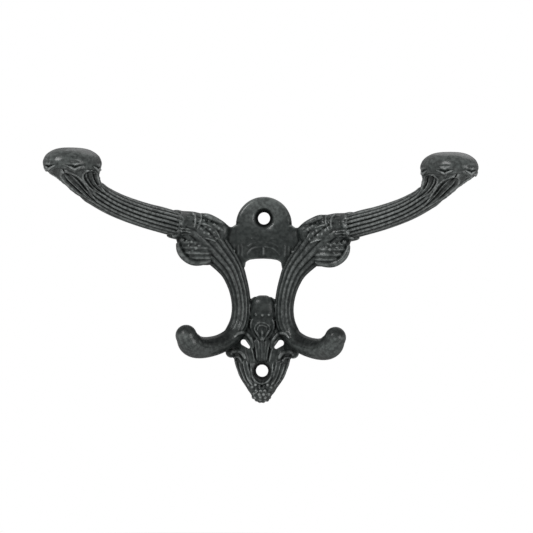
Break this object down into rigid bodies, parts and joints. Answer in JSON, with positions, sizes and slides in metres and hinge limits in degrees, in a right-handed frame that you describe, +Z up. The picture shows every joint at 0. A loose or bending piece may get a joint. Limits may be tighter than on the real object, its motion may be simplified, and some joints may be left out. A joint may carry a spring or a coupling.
{
  "type": "double hook",
  "caption": "Wall hook in one iron casting: two long reeded arms with domed caps, two short ball-ended hooks, a round ear and a pointed leaf with screw holes.",
  "frame": {"origin": "midpoint between the two screw holes, on the flat back that lies against the wall", "axes": "+Z up along the wall, +X to the right as seen from the front, +Y into the wall; the hooks stand out on the -Y side"},
  "size_m": [0.1904, 0.0699, 0.1143],
  "materials": {
    "black_iron": "black painted, satin"
  },
  "bodies": {
    "root": {"double_hook": "black_iron"}
  },
  "joints": []
}
